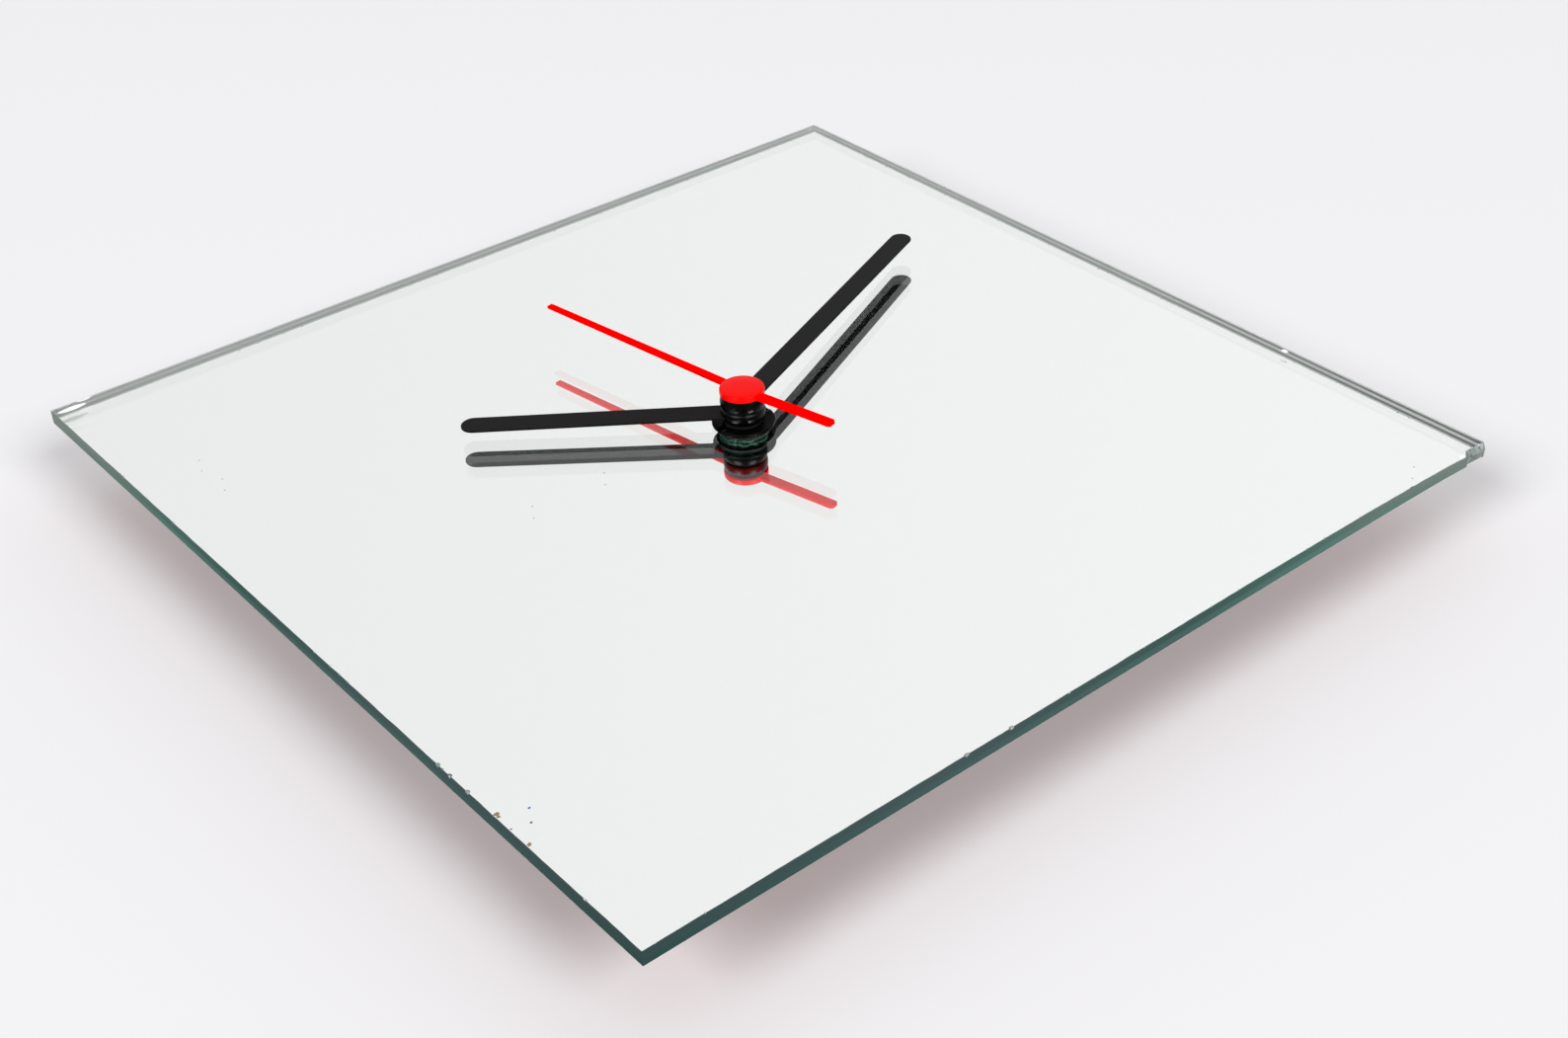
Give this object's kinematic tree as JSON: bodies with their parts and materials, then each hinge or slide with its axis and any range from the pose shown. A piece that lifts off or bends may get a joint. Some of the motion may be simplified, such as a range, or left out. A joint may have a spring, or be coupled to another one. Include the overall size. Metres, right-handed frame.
{
  "type": "mirror wall clock",
  "caption": "Frameless square mirror wall clock lying on its back, with black hour and minute hands, a red seconds hand and a battery movement hidden behind the glass.",
  "frame": {"origin": "on the flat back of the movement, under the axis of the hands", "axes": "+Z out of the dial, +Y towards twelve o'clock, +X towards three o'clock"},
  "size_m": [0.2012, 0.2, 0.0296],
  "materials": {
    "float_glass": "polished float glass, green at its cut edge",
    "silver": "second-surface mirror coat",
    "backing_paint": "red-brown protective paint",
    "foam": "closed-cell foam",
    "washer_rubber": "satin",
    "nut_black": "moulded, glossy",
    "case_black": "moulded, fine matt texture",
    "natural_plastic": "moulded, natural white",
    "battery_sleeve": "plain printed sleeve, satin",
    "spring_plate": "nickel-plated strip",
    "board_laminate": "plain laminate",
    "black_resin": "cast resin",
    "bright_steel": "bright",
    "bobbin_plastic": "moulded",
    "copper_wire": "enamelled copper wire",
    "core_iron": "annealed soft iron sheet",
    "magnet_grey": "sintered, dull grey",
    "brass": "turned brass",
    "hand_black": "satin black lacquer on aluminium",
    "boss_black": "moulded, glossy",
    "signal_red": "moulded, glossy"
  },
  "bodies": {
    "movement": {"mirror_glass": "float_glass", "silver_film": "silver", "backing_paint": "backing_paint", "foam_pad": "foam", "glass_washer": "washer_rubber", "dial_nut": "nut_black", "case_front": "case_black", "case_back": "case_black", "middle_plate": "natural_plastic", "battery_cell": "battery_sleeve", "contact_positive": "spring_plate", "contact_negative": "spring_plate", "circuit_board": "board_laminate", "chip_blob": "black_resin", "crystal_can": "bright_steel", "coil_bobbin": "bobbin_plastic", "coil_winding": "copper_wire", "coil_pins": "bright_steel", "coil_core": "core_iron", "stator": "core_iron", "stator_screws": "bright_steel"},
    "minute_work": {"cannon_pipe": "brass", "clutch_spring": "bright_steel", "minute_boss": "boss_black", "minute_hand": "hand_black"},
    "hour_work": {"hour_wheel": "natural_plastic", "hour_boss": "boss_black", "hour_hand": "hand_black"},
    "motion_work": {"motion_wheel": "natural_plastic", "setting_knob": "case_black"},
    "seconds_work": {"seconds_wheel": "natural_plastic", "seconds_arbor": "bright_steel", "seconds_tube": "brass", "seconds_hand": "signal_red"},
    "rotor": {"rotor_magnet": "magnet_grey", "rotor_pinion": "natural_plastic"},
    "intermediate": {"intermediate_wheel": "natural_plastic"},
    "third": {"third_wheel": "natural_plastic"},
    "centre": {"centre_wheel": "natural_plastic"}
  },
  "joints": [
    {"name": "minute_spin", "type": "hinge", "parent": "movement", "child": "minute_work", "pos_m": [0, 0, 0], "axis": [0, 0, -1], "continuous": true},
    {"name": "hour_spin", "type": "hinge", "parent": "movement", "child": "hour_work", "pos_m": [0, 0, 0], "axis": [0, 0, -1], "continuous": true},
    {"name": "knob_spin", "type": "hinge", "parent": "movement", "child": "motion_work", "pos_m": [-0.01088, 0, 0], "axis": [0, 0, -1], "continuous": true},
    {"name": "seconds_spin", "type": "hinge", "parent": "movement", "child": "seconds_work", "pos_m": [0, 0, 0], "axis": [0, 0, -1], "continuous": true},
    {"name": "rotor_spin", "type": "hinge", "parent": "movement", "child": "rotor", "pos_m": [0.01572, 0.00548, 0], "axis": [0, 0, -1], "continuous": true},
    {"name": "intermediate_spin", "type": "hinge", "parent": "movement", "child": "intermediate", "pos_m": [0.00896, 0.00158, 0], "axis": [0, 0, -1], "continuous": true},
    {"name": "third_spin", "type": "hinge", "parent": "movement", "child": "third", "pos_m": [-0.00156, 0.00886, 0], "axis": [0, 0, -1], "continuous": true},
    {"name": "centre_spin", "type": "hinge", "parent": "movement", "child": "centre", "pos_m": [0, 0, 0], "axis": [0, 0, -1], "continuous": true}
  ],
  "couplings": [
    {"joint": "hour_spin", "follows": "minute_spin", "ratio": 0.083333},
    {"joint": "knob_spin", "follows": "minute_spin", "ratio": -0.33333},
    {"joint": "intermediate_spin", "follows": "seconds_spin", "ratio": -6},
    {"joint": "rotor_spin", "follows": "seconds_spin", "ratio": 30},
    {"joint": "third_spin", "follows": "seconds_spin", "ratio": -0.13333},
    {"joint": "centre_spin", "follows": "seconds_spin", "ratio": 0.016667}
  ]
}
